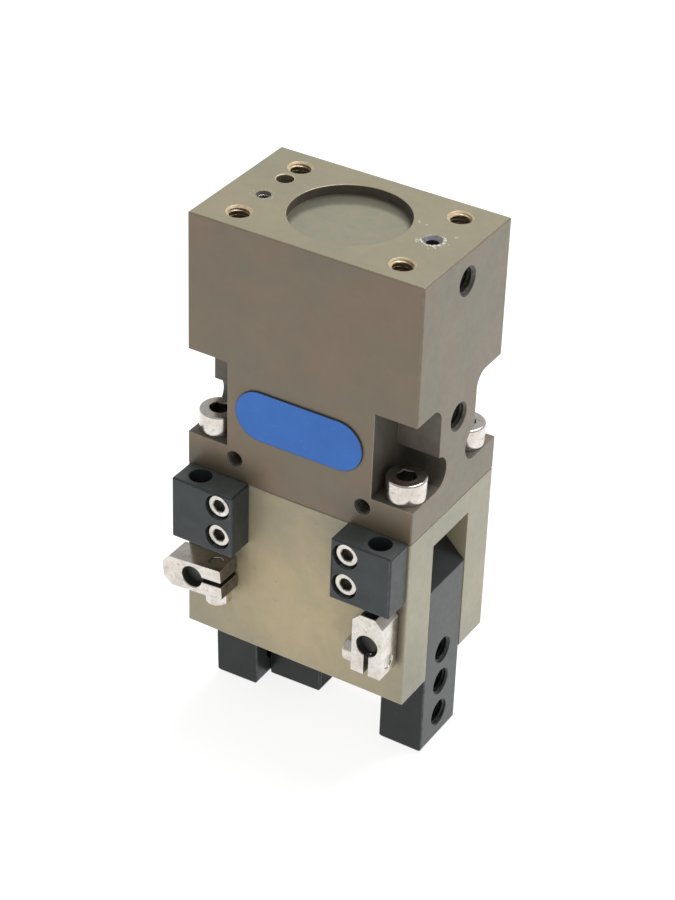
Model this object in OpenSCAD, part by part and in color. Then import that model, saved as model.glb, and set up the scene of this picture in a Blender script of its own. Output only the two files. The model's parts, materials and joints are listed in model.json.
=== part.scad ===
// Two jaw angular gripper: double acting air cylinder with a closing spring,
// a double sided rack and two toothed jaws that swing 90 degrees each.
// Origin: centre of the top mounting face. X to the right, Y to the back, Z up.
// The jaws point down (-Z) and are closed as drawn.

/* [Body] */
// Width of the body (X)
body_w = 44; // [44:0.5:46]
// Depth of the body (Y)
body_d = 28; // [28:0.5:30]
// Height of the cylinder housing
cyl_h = 48.5; // [48.5:0.1:49]
// Height of the jaw housing
jaw_h = 33.5; // [33.3:0.1:34]
// Chamfer on the outer edges
edge_ch = 0.2; // [0.15:0.05:0.5]

/* [Cylinder housing] */
// Height of the full width block at the top
block_h = 25.65; // [25:0.05:26]
// Width of the neck between the screw pockets
neck_w = 28.2; // [27:0.1:28.6]
// Width (Y) of the side web beside the upper part of a pocket
web_w = 11.8; // [11:0.1:12.4]
// Height of the flange that the housing screws clamp
flange_h = 6.4; // [6:0.1:6.6]
// Height of the lower, deeper part of a pocket
pocket_low_h = 6.5; // [6.2:0.1:6.8]
// Diameter of the centring recess in the top face
recess_dia = 20.5; // [18:0.5:20.5]
// Depth of the centring recess
recess_depth = 1.8; // [1:0.1:2]
// Bore of the air cylinder
bore_dia = 20; // [20:0.1:20.2]
// Hole spacing of the mounting threads along X
mount_x = 30.4; // [30:0.1:31]
// Hole spacing of the mounting threads along Y
mount_y = 18.5; // [18:0.1:19]
// Spacing of the housing screws along X
screw_x = 36.6; // [36.4:0.1:36.8]
// Spacing of the housing screws along Y
screw_y = 19.8; // [19.6:0.1:20]

/* [Jaws] */
// Distance between the two pivot axes
pivot_x = 35.2; // [35.2:0.1:35.2]
// Depth of the pivot axes below the top face
pivot_z = 67.6; // [67.6:0.1:67.6]
// Thickness of a jaw (X)
jaw_t = 8.6; // [8.2:0.1:8.6]
// Width of a jaw (Y)
jaw_w = 11.8; // [11.5:0.1:11.8]
// Distance from the pivot axis to the tip of a jaw
jaw_reach = 30.8; // [29:0.1:31]
// Pitch of the three finger threads in a jaw
hole_pitch = 7; // [6.5:0.1:7]
// Play that lets the left jaw rest further in, degrees
left_play = 1.6; // [0:0.1:1.6]
// Thickness of the gripping finger (X)
finger_t = 10.9; // [8:0.1:11.5]

/* [Drive] */
// Tooth module
gear_m = 1; // [1:0.1:1]
// Teeth on a full circle of a jaw hub
gear_z = 15; // [15:1:15]
// Backlash taken off each tooth
tooth_thin = 0.22; // [0.22:0.01:0.25]
// Width of the rack (Y)
rack_w = 11; // [10:0.1:11]
// Height of the rack
rack_h = 14.7; // [14.6:0.1:14.8]
// Coils of the closing spring
spring_coils = 4.25; // [3.25:1:4.25]
// Wire diameter of the closing spring
spring_wire = 1.4; // [1.2:0.1:1.6]

/* [Switches] */
// Width of the left sensor bracket (X)
bracket_w_left = 12.2; // [11.5:0.1:12.3]
// Width of the right sensor bracket (X)
bracket_w_right = 11.6; // [11:0.1:12]
// Depth of a sensor bracket (Y)
bracket_t = 5.6; // [5.4:0.1:5.8]
// Height of a sensor bracket
bracket_h = 12.2; // [11.5:0.1:12.2]
// How far a sensor bracket reaches above the joint of the two housings
bracket_up = 0.3; // [0:0.05:0.3]
// Spacing of the bracket screw columns from the middle, left
bracket_x_left = 12.35; // [12.3:0.05:12.6]
// Spacing of the bracket screw columns from the middle, right
bracket_x_right = 12.85; // [12.6:0.05:12.9]
// Bore for a sensor
sensor_dia = 4; // [4:0.1:4]
// Angle of the left switch cam, degrees counter clockwise seen from the front
left_cam_angle = 94.5; // [90:0.5:96]

/* [Hidden] */
$fn = 48;

bw = body_w / 2;
bd = body_d / 2;
z_joint = -cyl_h;
z_base = -(cyl_h + jaw_h);
z_flange = z_joint + flange_h;
z_pocket = z_flange + pocket_low_h;
px = pivot_x / 2;
pz = -pivot_z;
slot_y = 6;
slot_top = z_joint - 4.8;

// cylinder: chamber, cover and piston levels at rest
z_chamber = -4;
z_piston = -4.5;
z_cover = -33.5;
cover_h = 8;

// drive
pitch_r = gear_m * gear_z / 2;
base_r = pitch_r * cos(20);
tip_r = pitch_r + gear_m;
root_r = pitch_r - 1.2 * gear_m;
pitch = PI * gear_m;
tooth_t = pitch / 2 - tooth_thin;
rack_x = px - pitch_r;
rack_add = 0.9 * gear_m;
rack_ded = 1.2 * gear_m;
rack_bot = pz - 0.9;
rack_top = rack_bot + rack_h;
stroke = pitch_r * PI / 2;
cover_t = 1.4;

shaft_r = 2.47;
bush_r = 2.5;
bush_out = 3.5;
journal_r = 2;

housing_col = [0.42, 0.38, 0.32];
jaw_housing_col = [0.55, 0.53, 0.46];
black_col = [0.13, 0.14, 0.15];
nickel_col = [0.85, 0.83, 0.80];
steel_col = [0.62, 0.63, 0.64];
seal_col = [0.08, 0.08, 0.08];
bronze_col = [0.70, 0.50, 0.28];

// ---------- general shapes ----------

// rectangle with 45 degree corners, from the origin
module bev_rect(w, h, c)
    polygon([[c, 0], [w - c, 0], [w, c], [w, h - c], [w - c, h], [c, h], [0, h - c], [0, c]]);

// box between two corners with a chamfer on all twelve edges
module cbox(a, b, c) {
    s = b - a;
    translate(a) intersection() {
        linear_extrude(s[2]) bev_rect(s[0], s[1], c);
        translate([0, s[1], 0]) rotate([90, 0, 0]) linear_extrude(s[1]) bev_rect(s[0], s[2], c);
        rotate([90, 0, 90]) linear_extrude(s[0]) bev_rect(s[1], s[2], c);
    }
}

// plain box between two corners
module box(a, b) translate(a) cube(b - a);

// solid of revolution along +Y from y0 to y1 around (x, z)
module ycyl(x, z, y0, y1, r) translate([x, y0, z]) rotate([-90, 0, 0]) cylinder(r = r, h = y1 - y0);
module ycone(x, z, y0, y1, r0, r1) translate([x, y0, z]) rotate([-90, 0, 0]) cylinder(r1 = r0, r2 = r1, h = y1 - y0);
module xcyl(y, z, x0, x1, r) translate([x0, y, z]) rotate([0, 90, 0]) cylinder(r = r, h = x1 - x0);
module xcone(y, z, x0, x1, r0, r1) translate([x0, y, z]) rotate([0, 90, 0]) cylinder(r1 = r0, r2 = r1, h = x1 - x0);

// drilled hole going down from z = 0 with a chamfered mouth
module hole_down(r, depth, mouth_r) {
    translate([0, 0, -depth]) cylinder(r = r, h = depth + 1);
    translate([0, 0, -(mouth_r - r)]) cylinder(r1 = r, r2 = mouth_r, h = mouth_r - r);
    cylinder(r = mouth_r, h = 1);
}

// socket head screw: seat at z = 0, head up, shank down
module cap_screw(head_r, head_h, key, shank_r, shank_len, thread_r, thread_from) {
    difference() {
        union() {
            cylinder(r = head_r, h = head_h - 0.25);
            translate([0, 0, head_h - 0.25]) cylinder(r1 = head_r, r2 = head_r - 0.25, h = 0.25);
            translate([0, 0, -thread_from]) cylinder(r = shank_r, h = thread_from + 0.01);
            translate([0, 0, -shank_len]) cylinder(r = thread_r, h = shank_len - thread_from + 0.01);
        }
        translate([0, 0, head_h * 0.45]) cylinder(d = key / cos(30), h = head_h, $fn = 6);
        translate([0, 0, head_h - 0.2]) cylinder(r1 = key * 0.5, r2 = key * 0.5 + 0.35, h = 0.21);
    }
}

// internal retaining ring lying at z = 0..t, open over a gap with two eyed lugs
module inner_ring(r_out, r_in, t, gap, lug_r) {
    difference() {
        union() {
            difference() {
                cylinder(r = r_out, h = t);
                translate([0, 0, -1]) cylinder(r = r_in, h = t + 2);
            }
            for (a = [-gap, gap]) rotate([0, 0, a]) translate([0, -(r_in - lug_r * 0.3), 0]) cylinder(r = lug_r, h = t);
        }
        linear_extrude(height = 6 * t, center = true)
            polygon([[0, 0], [-2 * r_out * tan(gap * 0.55), -2 * r_out], [2 * r_out * tan(gap * 0.55), -2 * r_out]]);
        for (a = [-gap, gap]) rotate([0, 0, a]) translate([0, -(r_in - lug_r * 0.3), -1]) cylinder(r = lug_r * 0.42, h = t + 2);
    }
}

// seal of revolution with rounded corners between two radii
module seal_ring(r_in, r_out, h, c) rotate_extrude($fn = 96)
    translate([r_in, 0]) bev_rect(r_out - r_in, h, c);

// ---------- housings ----------

// one milled screw pocket at the right front corner
module screw_pocket() {
    fr = 2.8;
    yu = web_w / 2;
    yl = 3.2;
    lr = pocket_low_h / 2;
    translate([neck_w / 2, 0, 0]) rotate([90, 0, 90]) linear_extrude(bw) union() {
        translate([-bd - 1, z_pocket]) square([bd + 1 - yu - fr, -block_h - z_pocket]);
        translate([-bd - 1, z_pocket]) square([bd + 1 - yu, -block_h - z_pocket - fr]);
        translate([-yu - fr, -block_h - fr]) circle(r = fr);
        translate([-bd - 1, z_flange]) square([bd + 1 - yl - lr, pocket_low_h]);
        translate([-yl - lr, z_flange + lr]) circle(r = lr);
        translate([-bd - 1, z_pocket - 0.5]) square([bd + 1 - yu, 1]);
    }
}

module air_port(z) {
    xcyl(0, z, bw - 7, bw + 1, 2.1);
    xcone(0, z, bw - 0.55, bw, 2.1, 2.65);
    xcyl(0, z, 9.5, bw - 6, 1);
}

module cylinder_housing() color(housing_col) difference() {
    cbox([-bw, -bd, z_joint], [bw, bd, 0], edge_ch);
    for (sx = [0, 1], sy = [0, 1]) mirror([sx, 0, 0]) mirror([0, sy, 0]) screw_pocket();
    // centring recess and cylinder bore
    translate([0, 0, -recess_depth]) cylinder(d = recess_dia, h = 5, $fn = 96);
    translate([0, 0, z_joint - 1]) cylinder(d = bore_dia, h = cyl_h + z_chamber + 1, $fn = 96);
    translate([0, 0, z_cover - cover_h - 1.15]) cylinder(r = bore_dia / 2 + 0.6, h = 1.15, $fn = 96);
    translate([0, 0, z_joint - 0.01]) cylinder(r1 = bore_dia / 2 + 0.5, r2 = bore_dia / 2, h = 0.5, $fn = 96);
    // mounting threads, dowel hole, plugged and open air holes in the top face
    for (sx = [-1, 1], sy = [-1, 1]) translate([sx * mount_x / 2, sy * mount_y / 2, 0]) hole_down(1.65, 10, 2.25);
    translate([-15.2, 4.5, -6]) cylinder(r = 1.5, h = 7);
    translate([-15.1, -2.2, -5]) cylinder(r = 1.25, h = 6);
    translate([-15.1, -2.2, -31.2]) cylinder(r = 0.9, h = 27);
    xcyl(-2.2, -30.7, -bw - 1, -9, 1);
    xcyl(-2.2, -30.7, -bw - 1, -bw + 3, 1.5);
    translate([15.2, 0.2, 0]) hole_down(1.05, 4.5, 1.65);
    air_port(-5.2);
    air_port(-30.7);
    // flange holes
    for (sx = [-1, 1], sy = [-1, 1]) translate([sx * screw_x / 2, sy * screw_y / 2, z_joint - 1]) cylinder(r = 2.2, h = flange_h + 2);
    for (sx = [-1, 1]) translate([sx * screw_x / 2, 0, z_joint - 1]) cylinder(r = 1.5, h = 4.5);
    for (sx = [-1, 1]) {
        ycyl(sx * 12.55, -44.3, -bd - 1, -bd + 5, 1.25);
        ycone(sx * 12.55, -44.3, -bd, -bd + 0.3, 1.55, 1.25);
    }
}

module jaw_housing() color(jaw_housing_col) difference() {
    cbox([-bw, -bd, z_base], [bw, bd, z_joint], edge_ch);
    box([-bw - 1, -slot_y, z_base - 1], [bw + 1, slot_y, slot_top]);
    translate([0, 0, slot_top - 1]) cylinder(r = 4.6, h = 8);
    for (sx = [-1, 1], sy = [-1, 1]) translate([sx * screw_x / 2, sy * screw_y / 2, z_joint - 10]) cylinder(r = 1.65, h = 11);
    for (sx = [-1, 1]) translate([sx * screw_x / 2, 0, z_joint - 3.6]) cylinder(r = 1.5, h = 5);
    // bearing bores, open at the back, with a small outlet for the journal in front
    for (sx = [-1, 1]) {
        ycyl(sx * px, pz, -bd + 1, 0, bush_out);
        ycyl(sx * px, pz, 0, bd + 1, bush_out);
        ycyl(sx * px, pz, -bd - 1, 0, 2.3);
        ycyl(sx * px, pz, bd - 1.5, bd - 0.7, bush_out + 0.4);
        ycone(sx * px, pz, bd - 0.25, bd + 0.01, bush_out, bush_out + 0.26);
        for (z = [-51, -57]) ycyl(sx < 0 ? -bracket_x_left : bracket_x_right, z, -bd - 1, -bd + 6, 1.05);
    }
    // seat and threads of the bottom cover
    box([-12.2, -10, z_base - 1], [12.2, 10, z_base + cover_t]);
    for (sx = [-1, 1], sy = [-1, 1]) translate([sx * 9, sy * 8, z_base]) cylinder(r = 0.8, h = 7);
}

module bottom_cover() color(jaw_housing_col) difference() {
    cbox([-12.1, -9.9, z_base], [12.1, 9.9, z_base + cover_t], 0.2);
    for (sx = [-1, 1], sy = [-1, 1]) translate([sx * 9, sy * 8, z_base]) {
        translate([0, 0, -1]) cylinder(r = 1.1, h = 5);
        translate([0, 0, -0.01]) cylinder(r1 = 2.05, r2 = 1.1, h = 1.05);
    }
}

module bottom_cover_screws() color(steel_col)
    for (sx = [-1, 1], sy = [-1, 1]) translate([sx * 9, sy * 8, z_base]) difference() {
        union() {
            translate([0, 0, 0.15]) cylinder(r1 = 1.9, r2 = 1.0, h = 0.9);
            translate([0, 0, 0.6]) cylinder(r = 1.0, h = cover_t - 0.6);
            translate([0, 0, cover_t - 0.1]) cylinder(r = 0.8, h = 4.8);
        }
        translate([0, 0, -0.5]) cylinder(d = 1.3 / cos(30), h = 1.5, $fn = 6);
    }

module housing_screws() color(nickel_col)
    for (sx = [-1, 1], sy = [-1, 1]) translate([sx * screw_x / 2, sy * screw_y / 2, z_flange])
        rotate([0, 0, 15]) cap_screw(3.5, 4, 3, 2, 15.5, 1.65, flange_h - 0.05);

module housing_dowels() color(steel_col)
    for (sx = [-1, 1]) translate([sx * screw_x / 2, 0, z_joint - 3.5]) cylinder(r = 1.5, h = 6.9);

// ---------- cylinder ----------

module cylinder_cover() color(steel_col) difference() {
    translate([0, 0, z_cover - cover_h]) cylinder(r = bore_dia / 2 - 0.02, h = cover_h, $fn = 96);
    translate([0, 0, z_cover - cover_h - 1]) cylinder(r = 5, h = 6);
    translate([0, 0, z_cover - cover_h]) cylinder(r = 4.3, h = cover_h + 1);
    translate([0, 0, z_cover - 2.5]) cylinder(r = 6, h = 4);
    translate([0, 0, z_cover - 5.2]) difference() {
        cylinder(r = bore_dia / 2 + 1, h = 2.4, $fn = 96);
        cylinder(r = 8.2, h = 2.4, $fn = 96);
    }
}

module cover_o_ring() color(seal_col) translate([0, 0, z_cover - 5.1]) seal_ring(8.2, bore_dia / 2, 2.2, 0.6);

module cover_retaining_ring() color(steel_col) translate([0, 0, z_cover - cover_h - 1.1])
    inner_ring(bore_dia / 2 + 0.55, 8.7, 1.08, 11, 1.25);

module rod_seal() color(seal_col) translate([0, 0, z_cover - 2.45]) seal_ring(4.02, 6, 2.35, 0.3);

module rod_guide_bush() color(bronze_col) translate([0, 0, z_cover - cover_h]) difference() {
    cylinder(r = 5, h = 5);
    translate([0, 0, -1]) cylinder(r = 4.03, h = 7);
}

// closing spring: round wire on a helix between the cover and the piston
spring_r = 7.6;
spring_z0 = z_cover;
spring_z1 = z_piston - 9;
spring_n = 24;
spring_steps = round(spring_coils * spring_n);
function spring_z(i) = let(w = spring_wire / 2, t = i / spring_steps,
    e = 0.75 / spring_coils, s = (t < e) ? 0 : (t > 1 - e) ? 1 : (t - e) / (1 - 2 * e))
    spring_z0 + w + 0.02 + (spring_z1 - spring_z0 - 2 * w - 0.04) * (0.06 * t + 0.94 * s);
function spring_pt(i, j) = let(a = 360 * i / spring_n, b = 360 * j / 8, w = spring_wire / 2)
    [(spring_r + w * cos(b)) * cos(a), (spring_r + w * cos(b)) * sin(a), spring_z(i) + w * sin(b)];
module closing_spring() color(steel_col) polyhedron(
    points = [for (i = [0 : spring_steps], j = [0 : 7]) spring_pt(i, j)],
    faces = concat(
        [[for (j = [0 : 7]) j]],
        [for (i = [0 : spring_steps - 1], j = [0 : 7]) [i * 8 + j, (i + 1) * 8 + j, i * 8 + (j + 1) % 8]],
        [for (i = [0 : spring_steps - 1], j = [0 : 7]) [i * 8 + (j + 1) % 8, (i + 1) * 8 + j, (i + 1) * 8 + (j + 1) % 8]],
        [[for (j = [7 : -1 : 0]) spring_steps * 8 + j]]));

module piston() color(steel_col) difference() {
    union() {
        translate([0, 0, z_piston - 2.2]) cylinder(r = 6, h = 2.2, $fn = 96);
        translate([0, 0, z_piston - 9]) cylinder(r = bore_dia / 2 - 0.08, h = 6.8, $fn = 96);
        translate([0, 0, z_piston - 11]) cylinder(r = 6.4, h = 2.5, $fn = 96);
    }
    translate([0, 0, z_piston - 4.2]) cylinder(r = 3.6, h = 6);
    translate([0, 0, z_piston - 12]) cylinder(r = 2.2, h = 12);
    translate([0, 0, z_piston - 12]) cylinder(r = 4, h = 5.5);
    for (g = [[3, 2.3, 8.2], [6.4, 2, 9.2]]) translate([0, 0, z_piston - g[0] - g[1]]) difference() {
        cylinder(r = bore_dia / 2 + 1, h = g[1], $fn = 96);
        cylinder(r = g[2], h = g[1], $fn = 96);
    }
}

module piston_seal() color(seal_col) translate([0, 0, z_piston - 5.2]) seal_ring(8.2, bore_dia / 2 - 0.02, 2.1, 0.5);
module piston_guide_ring() color(bronze_col) translate([0, 0, z_piston - 8.35]) seal_ring(9.2, bore_dia / 2 - 0.03, 1.9, 0.1);
module piston_screw() color(steel_col) translate([0, 0, z_piston - 4.2]) cap_screw(3.5, 4, 3, 2, 14, 1.65, 2.3);

module piston_rod() color(steel_col) difference() {
    translate([0, 0, rack_top - 2]) cylinder(r = 4, h = z_piston - 6.5 - rack_top + 2);
    translate([0, 0, z_piston - 19]) cylinder(r = 1.65, h = 20);
    translate([0, 0, rack_top - 3]) cylinder(r = 1.65, h = 10);
}

// ---------- rack and toothed jaws ----------

// rack tooth on the right edge, centred on z
module rack_tooth(z) polygon([
    [rack_x - rack_ded - 0.1, z - tooth_t / 2 - rack_ded * tan(20)],
    [rack_x + rack_add, z - tooth_t / 2 + rack_add * tan(20)],
    [rack_x + rack_add, z + tooth_t / 2 - rack_add * tan(20)],
    [rack_x - rack_ded - 0.1, z + tooth_t / 2 + rack_ded * tan(20)]]);

module rack_profile() union() {
    xr = rack_x - rack_ded;
    translate([-xr, rack_bot]) square([2 * xr, rack_h]);
    for (k = [0 : 3]) rack_tooth(pz + (k + 0.5) * pitch);
    mirror([1, 0]) for (k = [0 : 3]) rack_tooth(pz + (k + 0.5) * pitch);
}

module drive_rack() color(steel_col) difference() {
    rotate([90, 0, 0]) linear_extrude(height = rack_w, center = true) rack_profile();
    translate([0, 0, rack_top - 2]) cylinder(r = 4, h = 4);
    translate([0, 0, rack_bot - 1]) cylinder(r = 2.2, h = rack_h);
    translate([0, 0, rack_bot - 1]) cylinder(r = 3.7, h = 5.4);
}

module rack_screw() color(steel_col) translate([0, 0, rack_bot + 4.4]) mirror([0, 0, 1]) cap_screw(3.5, 4, 3, 2, 16, 1.65, rack_h - 6.45);

function inv(a) = tan(a) * 180 / PI - a;
// half angle of the space between two teeth at radius r
function space_half(r) = let(rr = max(r, base_r), a = acos(base_r / rr))
    180 / gear_z - (tooth_t / (2 * pitch_r) * 180 / PI + inv(20) - inv(a));
space_radii = [root_r, base_r, base_r + 0.15, base_r + 0.35, base_r + 0.65, base_r + 1, tip_r - 0.15, tip_r + 0.4];
module tooth_space(a) rotate([0, 0, a]) polygon(concat(
    [for (r = space_radii) [r * cos(space_half(r)), r * sin(space_half(r))]],
    [for (i = [len(space_radii) - 1 : -1 : 0]) let(r = space_radii[i]) [r * cos(space_half(r)), -r * sin(space_half(r))]]));

// chamfer on the long edges of a jaw
jaw_ch = 0.15;
// outline of the right jaw about its pivot, X to the right and Z up
module jaw_outline() {
    h = jaw_t / 2;
    tr = 1.1;
    difference() {
        union() {
            // bar with rounded tip corners
            translate([-h, -jaw_reach + tr]) square([jaw_t, jaw_reach - tr]);
            translate([-h + tr, -jaw_reach]) square([jaw_t - 2 * tr, tr + 1]);
            for (s = [-1, 1]) translate([s * (h - tr), -jaw_reach + tr]) circle(r = tr);
            // toothed hub, cut by the outer face and by a 45 degree relief
            intersection() {
                circle(r = tip_r, $fn = 96);
                polygon([[-tip_r - 1, -tip_r - 1], [h, -tip_r - 1], [h, h], [h - 6, h + 6], [-tip_r - 1, h + 6]]);
            }
        }
        for (k = [0 : 5]) tooth_space(96 + 24 * k);
    }
}

module jaw() difference() {
    h = jaw_t / 2;
    intersection() {
        rotate([90, 0, 0]) linear_extrude(height = jaw_w, center = true) jaw_outline();
        // chamfered long edges
        union() {
            translate([-h, -jaw_w / 2, -jaw_reach - 1]) linear_extrude(jaw_reach - 8) bev_rect(jaw_t, jaw_w, jaw_ch);
            translate([-h - 5, -jaw_w / 2, -9]) linear_extrude(18) polygon([[0, 0], [jaw_t + 5 - jaw_ch, 0],
                [jaw_t + 5, jaw_ch], [jaw_t + 5, jaw_w - jaw_ch], [jaw_t + 5 - jaw_ch, jaw_w], [0, jaw_w]]);
        }
        // side view: rounded tip, chamfered top
        rotate([90, 0, 90]) translate([-jaw_w / 2, -jaw_reach]) linear_extrude(height = 40, center = true) union() {
            rr = 0.6;
            th = jaw_reach + 9;
            translate([0, rr]) polygon([[0, 0], [jaw_w, 0], [jaw_w, th - rr - jaw_ch], [jaw_w - jaw_ch, th - rr],
                [jaw_ch, th - rr], [0, th - rr - jaw_ch]]);
            translate([rr, 0]) square([jaw_w - 2 * rr, rr + 1]);
            for (y = [rr, jaw_w - rr]) translate([y, rr]) circle(r = rr);
        }
    }
    ycyl(0, 0, -jaw_w, jaw_w, shaft_r);
    box([-1, -4, -3.5], [1, 4, 0]);
    for (k = [0 : 2]) {
        z = -11.4 - k * hole_pitch;
        xcyl(0, z, -h - 1, h + 1, 2.1);
        xcone(0, z, h - 0.5, h, 2.1, 2.6);
        xcone(0, z, -h, -h + 0.5, 2.6, 2.1);
    }
    xcyl(3.6, -22.4, -h - 1, -h + 4, 1.5);
}

module pivot_shaft() difference() {
    union() {
        ycyl(0, 0, -bd + 1.1, bd - 1.6, shaft_r);
        ycyl(0, 0, -18, -bd + 1.2, journal_r);
    }
    box([-1, -4, -3.5], [1, 4, -1.5]);
}

module shaft_key() box([-1, -4, -3.5], [1, 4, -1.5]);

cam_y0 = -19.5;
cam_y1 = -14.3;
cam_screw_z = -3.6;
module switch_cam(a) rotate([0, -a, 0]) difference() {
    translate([0, cam_y1, 0]) rotate([90, 0, 0]) linear_extrude(cam_y1 - cam_y0) polygon([[-2.95, -5.9], [-2.8, -6.05],
        [2.8, -6.05], [2.95, -5.9], [2.95, 4.55], [1.45, 6.05], [-1.45, 6.05], [-2.95, 4.55]]);
    ycyl(0, 0, cam_y0 - 1, cam_y1 + 1, journal_r);
    ycone(0, 0, cam_y0 - 0.01, cam_y0 + 0.2, journal_r + 0.21, journal_r);
    box([-0.45, cam_y0 - 1, -7], [0.45, cam_y1 + 1, 0]);
    xcyl((cam_y0 + cam_y1) / 2, cam_screw_z, -4, 4, 1.25);
}
module cam_screw(a) rotate([0, -a, 0]) translate([-2.95, (cam_y0 + cam_y1) / 2, cam_screw_z]) rotate([0, -90, 0])
    cap_screw(2.25, 2.1, 2, 1.25, 5.7, 1.25, 3);

// ---------- switches and small parts ----------

module sensor_bracket(w, sx) difference() {
    zt = z_joint + bracket_up;
    cbox([px + 4 - w, -bd - bracket_t, zt - bracket_h], [px + 4, -bd, zt], 0.3);
    translate([17.7, -16.5, zt - bracket_h - 1]) cylinder(d = sensor_dia, h = bracket_h + 2);
    for (z = [-51, -57]) {
        ycyl(sx, z, -bd - bracket_t - 1, -bd + 1, 1.3);
        ycyl(sx, z, -bd - bracket_t - 1, -bd - bracket_t + 3, 2.4);
    }
}

module sensor_bracket_right() color(black_col) sensor_bracket(bracket_w_right, bracket_x_right);
module sensor_bracket_left() color(black_col) mirror([1, 0, 0]) sensor_bracket(bracket_w_left, bracket_x_left);

module bracket_screws() color(nickel_col)
    for (x = [-bracket_x_left, bracket_x_right], z = [-51, -57]) translate([x, -bd - bracket_t + 3, z]) rotate([90, 0, 0])
        rotate([0, 0, 10]) cap_screw(2.25, 2.4, 2, 1.25, 8, 1.05, 2.5);

module nameplate() color([0.09, 0.30, 0.62]) translate([0, -bd, -33.9]) rotate([90, 0, 0]) linear_extrude(0.35)
    union() {
        square([15.1, 9.5], center = true);
        for (s = [-1, 1]) translate([s * 7.55, 0]) circle(r = 4.75);
    }

module top_plug_screw() color(steel_col) translate([-15.1, -2.2, -4.4]) difference() {
    cylinder(r = 1.25, h = 3.9);
    translate([0, 0, 2.2]) cylinder(d = 1.5 / cos(30), h = 3, $fn = 6);
}

module channel_plug() color(steel_col) xcyl(-2.2, -30.7, -bw + 0.1, -bw + 3, 1.5);

module bearing_bushes() color(bronze_col) for (sx = [-1, 1]) for (y = [[-bd + 1, -slot_y], [slot_y, bd - 1.6]]) difference() {
    ycyl(sx * px, pz, y[0], y[1], bush_out);
    ycyl(sx * px, pz, y[0] - 1, y[1] + 1, bush_r);
}

module shaft_retaining_rings() color(steel_col) for (sx = [-1, 1]) translate([sx * px, bd - 1.5, pz]) rotate([-90, 0, 0])
    inner_ring(bush_out + 0.35, bush_out - 0.6, 0.78, 24, 0.7);

// ---------- jaw groups ----------

module at_right() translate([px, 0, pz]) children();
module at_left() translate([-px, 0, pz]) rotate([0, -left_play, 0]) children();

module jaw_right() color(black_col) at_right() jaw();
module pivot_shaft_right() color(steel_col) at_right() pivot_shaft();
module shaft_key_right() color(steel_col) at_right() shaft_key();
module switch_cam_right() color(nickel_col) at_right() switch_cam(0);
module cam_screw_right() color(nickel_col) at_right() cam_screw(0);

module jaw_left() color(black_col) at_left() mirror([1, 0, 0]) jaw();
module pivot_shaft_left() color(steel_col) at_left() pivot_shaft();
module shaft_key_left() color(steel_col) at_left() shaft_key();
module switch_cam_left() color(nickel_col) at_left() switch_cam(left_cam_angle - left_play);
module cam_screw_left() color(nickel_col) at_left() cam_screw(left_cam_angle - left_play);

// finger on the inner face of the left jaw, wide at the top where its thread is
finger_top = -15.4;
module gripping_finger() color(black_col) at_left() difference() {
    h = jaw_t / 2;
    tr = 1.1;
    intersection() {
        union() {
            cbox([h, -1.65, -jaw_reach], [h + finger_t, 5.85, finger_top], 0.3);
            cbox([h, -3.6, -22], [h + finger_t, 5.85, finger_top], 0.3);
        }
        rotate([90, 0, 0]) linear_extrude(height = 20, center = true) union() {
            translate([h, -jaw_reach + tr]) square([finger_t, jaw_reach]);
            translate([h + tr, -jaw_reach]) square([finger_t - 2 * tr, 2]);
            for (x = [h + tr, h + finger_t - tr]) translate([x, -jaw_reach + tr]) circle(r = tr);
        }
    }
    xcyl(0, -18.4, h - 1, h + 8, 2.1);
    xcyl(3.6, -22.4, h - 1, h + 4, 1.5);
}

module finger_set_screw() color(steel_col) at_left() difference() {
    h = jaw_t / 2;
    xcyl(0, -18.4, -h + 0.6, h + 7, 2.1);
    translate([-h, 0, -18.4]) rotate([0, 90, 0]) cylinder(d = 2.5 / cos(30), h = 3, $fn = 6);
}

module finger_dowel() color(steel_col) at_left() xcyl(3.6, -22.4, jaw_t / 2 - 3.9, jaw_t / 2 + 3.9, 1.5);

cylinder_housing();
jaw_housing();
cylinder_cover();
cover_o_ring();
cover_retaining_ring();
rod_seal();
rod_guide_bush();
closing_spring();
bearing_bushes();
shaft_retaining_rings();
bottom_cover();
bottom_cover_screws();
housing_screws();
housing_dowels();
sensor_bracket_left();
sensor_bracket_right();
bracket_screws();
nameplate();
top_plug_screw();
channel_plug();
piston();
piston_seal();
piston_guide_ring();
piston_screw();
piston_rod();
drive_rack();
rack_screw();
jaw_right();
pivot_shaft_right();
shaft_key_right();
switch_cam_right();
cam_screw_right();
jaw_left();
pivot_shaft_left();
shaft_key_left();
switch_cam_left();
cam_screw_left();
gripping_finger();
finger_set_screw();
finger_dowel();
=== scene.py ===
"""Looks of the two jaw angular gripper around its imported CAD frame: detailed pieces, materials, floor, light and camera.

Sizes in this script are in millimetres and are turned into metres by MM. Positions are those of the CAD frame:
origin at the centre of the top mounting face, X right, Y back, Z up.
"""
import bpy
import bmesh
import json
import math
import random
from mathutils import Matrix, Vector, noise as mnoise


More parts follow.
